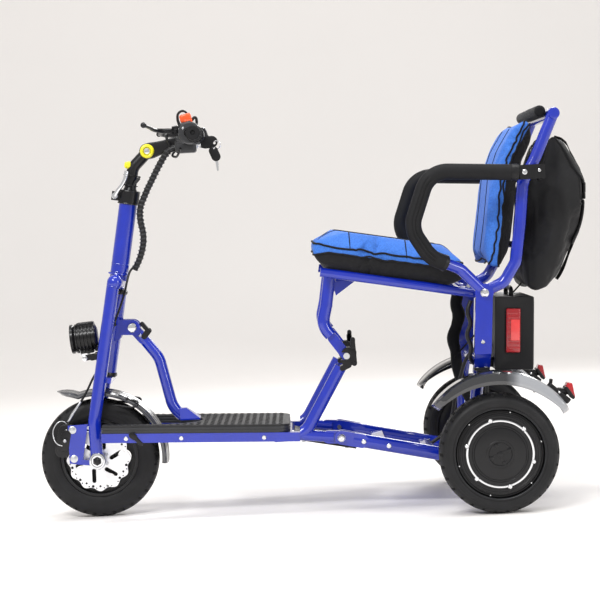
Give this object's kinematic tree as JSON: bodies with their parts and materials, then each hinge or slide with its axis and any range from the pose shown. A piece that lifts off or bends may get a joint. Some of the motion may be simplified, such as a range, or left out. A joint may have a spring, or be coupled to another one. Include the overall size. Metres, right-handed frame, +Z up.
{
  "type": "adult tricycle",
  "caption": "Folding electric mobility tricycle: blue tube frame, padded seat with armrests, bar steering, disc brake, battery case and rear bag.",
  "frame": {"origin": "on the ground, in the middle of the whole machine's box", "axes": "+X towards the rear, +Y to the rider's right, +Z up; the front wheel points to -X"},
  "size_m": [1.244, 0.555, 0.868],
  "materials": {
    "blue_paint": "gloss",
    "black_metal": "satin",
    "steel": "satin",
    "rotor_steel": "brushed",
    "tyre": "matte",
    "mat_rubber": "matte",
    "grip_foam": "matte",
    "black_plastic": "satin",
    "smoke_plastic": "gloss",
    "yellow_plastic": "gloss",
    "red_lens": "gloss",
    "orange_plastic": "gloss",
    "lamp_glass": "clear",
    "cable_sheath": "matte",
    "black_fabric": "woven",
    "blue_fabric": "woven"
  },
  "bodies": {
    "chassis": {"deck_rails": "blue_paint", "deck_cross_tubes": "blue_paint", "deck_mat": "mat_rubber", "down_tube": "blue_paint", "seat_legs": "blue_paint", "knee_sockets": "black_metal", "fold_pivot_bolt": "steel", "latch_bracket": "black_metal", "belly_cover": "black_plastic"},
    "knee_lock": {"knee_levers": "black_metal"},
    "head": {"head_tube": "blue_paint", "headset_bearings": "steel"},
    "fold_latch": {"column_latch": "black_metal"},
    "steerer": {"fork": "blue_paint", "column_tube": "blue_paint", "column_collar": "black_metal", "front_axle": "steel", "front_fender": "smoke_plastic", "caliper_plate": "blue_paint", "brake_caliper": "black_metal", "headlight_bracket": "black_metal", "brake_cable": "cable_sheath"},
    "headlight": {"headlight_shell": "black_plastic", "headlight_lens": "lamp_glass"},
    "collar_lock": {"collar_lever": "steel"},
    "post": {"stem_post": "black_metal", "cable_post": "cable_sheath"},
    "bars": {"stem_arm": "black_metal", "handlebar": "black_metal", "grip_left": "grip_foam", "control_pod": "black_plastic", "lever_perches": "black_metal", "cable_bars": "cable_sheath"},
    "lever_left": {"brake_lever_left": "black_metal"},
    "lever_right": {"brake_lever_right": "black_metal"},
    "throttle": {"throttle_grip": "grip_foam"},
    "key": {"ignition_key": "steel"},
    "fob": {"key_fob": "black_plastic"},
    "power_button": {"power_switch": "orange_plastic"},
    "front_wheel": {"front_tyre": "tyre", "front_rim": "black_metal", "brake_rotor": "rotor_steel"},
    "rear": {"rear_frame": "blue_paint", "frame_bolts": "steel", "seat_posts": "blue_paint", "armrest_ends": "black_metal", "armrest_pads": "grip_foam", "rear_fenders": "smoke_plastic", "reflectors": "red_lens", "battery_case": "black_plastic", "tail_lamp": "red_lens", "seat_rails": "blue_paint", "seat_cushion": "black_fabric"},
    "wheel_left": {"rear_tyre_left": "tyre", "rear_motor_left": "black_metal"},
    "wheel_right": {"rear_tyre_right": "tyre", "rear_motor_right": "black_metal"},
    "backrest": {"backrest_tubes": "blue_paint", "backrest_pad": "blue_fabric", "bag": "black_fabric"}
  },
  "joints": [
    {"name": "column_fold", "type": "hinge", "parent": "chassis", "child": "head", "pos_m": [-0.4015, 0, 0.419], "axis": [0, -1, 0], "range_deg": [-32, 0]},
    {"name": "fold_latch_turn", "type": "hinge", "parent": "chassis", "child": "fold_latch", "pos_m": [-0.368, 0, 0.408], "axis": [0, 1, 0], "range_deg": [0, 40]},
    {"name": "steering", "type": "hinge", "parent": "head", "child": "steerer", "pos_m": [-0.502, 0, 0.132], "axis": [0.184, 0, 0.9829], "range_deg": [-20, 20]},
    {"name": "headlight_tilt", "type": "hinge", "parent": "steerer", "child": "headlight", "pos_m": [-0.512, 0, 0.355], "axis": [0, 1, 0], "range_deg": [-12, 5]},
    {"name": "collar_lever_turn", "type": "hinge", "parent": "steerer", "child": "collar_lock", "pos_m": [-0.42388, 0, 0.71254], "axis": [0, -1, 0], "range_deg": [0, 80]},
    {"name": "stem_height", "type": "slide", "parent": "steerer", "child": "post", "axis": [0.184, 0, 0.9829], "range_m": [-0.05, 0], "deforming": ["cable_post"]},
    {"name": "bar_tilt", "type": "hinge", "parent": "post", "child": "bars", "pos_m": [-0.34718, 0, 0.80704], "axis": [0, -1, 0], "range_deg": [-25, 35], "deforming": ["cable_bars"]},
    {"name": "brake_left", "type": "hinge", "parent": "bars", "child": "lever_left", "pos_m": [-0.276, -0.104, 0.844], "axis": [0, 0, 1], "range_deg": [0, 18], "stiffness_Nm_per_rad": 2, "springref_deg": -17.19},
    {"name": "brake_right", "type": "hinge", "parent": "bars", "child": "lever_right", "pos_m": [-0.276, 0.104, 0.844], "axis": [0, 0, -1], "range_deg": [0, 18], "stiffness_Nm_per_rad": 2, "springref_deg": -17.19},
    {"name": "throttle_twist", "type": "hinge", "parent": "bars", "child": "throttle", "pos_m": [-0.233, 0.18, 0.833], "axis": [0, 1, 0], "range_deg": [0, 60], "stiffness_Nm_per_rad": 0.4, "springref_deg": -11.46},
    {"name": "key_turn", "type": "hinge", "parent": "bars", "child": "key", "pos_m": [-0.24, -0.072, 0.813], "axis": [1, 0, 0], "range_deg": [0, 75]},
    {"name": "fob_swing", "type": "hinge", "parent": "key", "child": "fob", "pos_m": [-0.2, -0.072, 0.813], "axis": [0, 1, 0], "range_deg": [-25, 25]},
    {"name": "power_press", "type": "slide", "parent": "bars", "child": "power_button", "axis": [0, 0, -1], "range_m": [0, 0.0025], "stiffness_N_per_m": 400, "springref_m": -0.002},
    {"name": "front_spin", "type": "hinge", "parent": "steerer", "child": "front_wheel", "pos_m": [-0.49, 0, 0.132], "axis": [0, 1, 0], "continuous": true},
    {"name": "rear_fold", "type": "hinge", "parent": "chassis", "child": "rear", "pos_m": [0.048, 0, 0.161], "axis": [0, -1, 0], "range_deg": [0, 35]},
    {"name": "knee_lever_turn", "type": "hinge", "parent": "chassis", "child": "knee_lock", "pos_m": [0.084, 0, 0.322], "axis": [0, 1, 0], "range_deg": [0, 50]},
    {"name": "wheel_left_spin", "type": "hinge", "parent": "rear", "child": "wheel_left", "pos_m": [0.376, -0.24, 0.127], "axis": [0, 1, 0], "continuous": true},
    {"name": "wheel_right_spin", "type": "hinge", "parent": "rear", "child": "wheel_right", "pos_m": [0.376, 0.24, 0.127], "axis": [0, 1, 0], "continuous": true},
    {"name": "backrest_fold", "type": "hinge", "parent": "rear", "child": "backrest", "pos_m": [0.364, 0, 0.464], "axis": [0, -1, 0], "range_deg": [0, 32]}
  ]
}
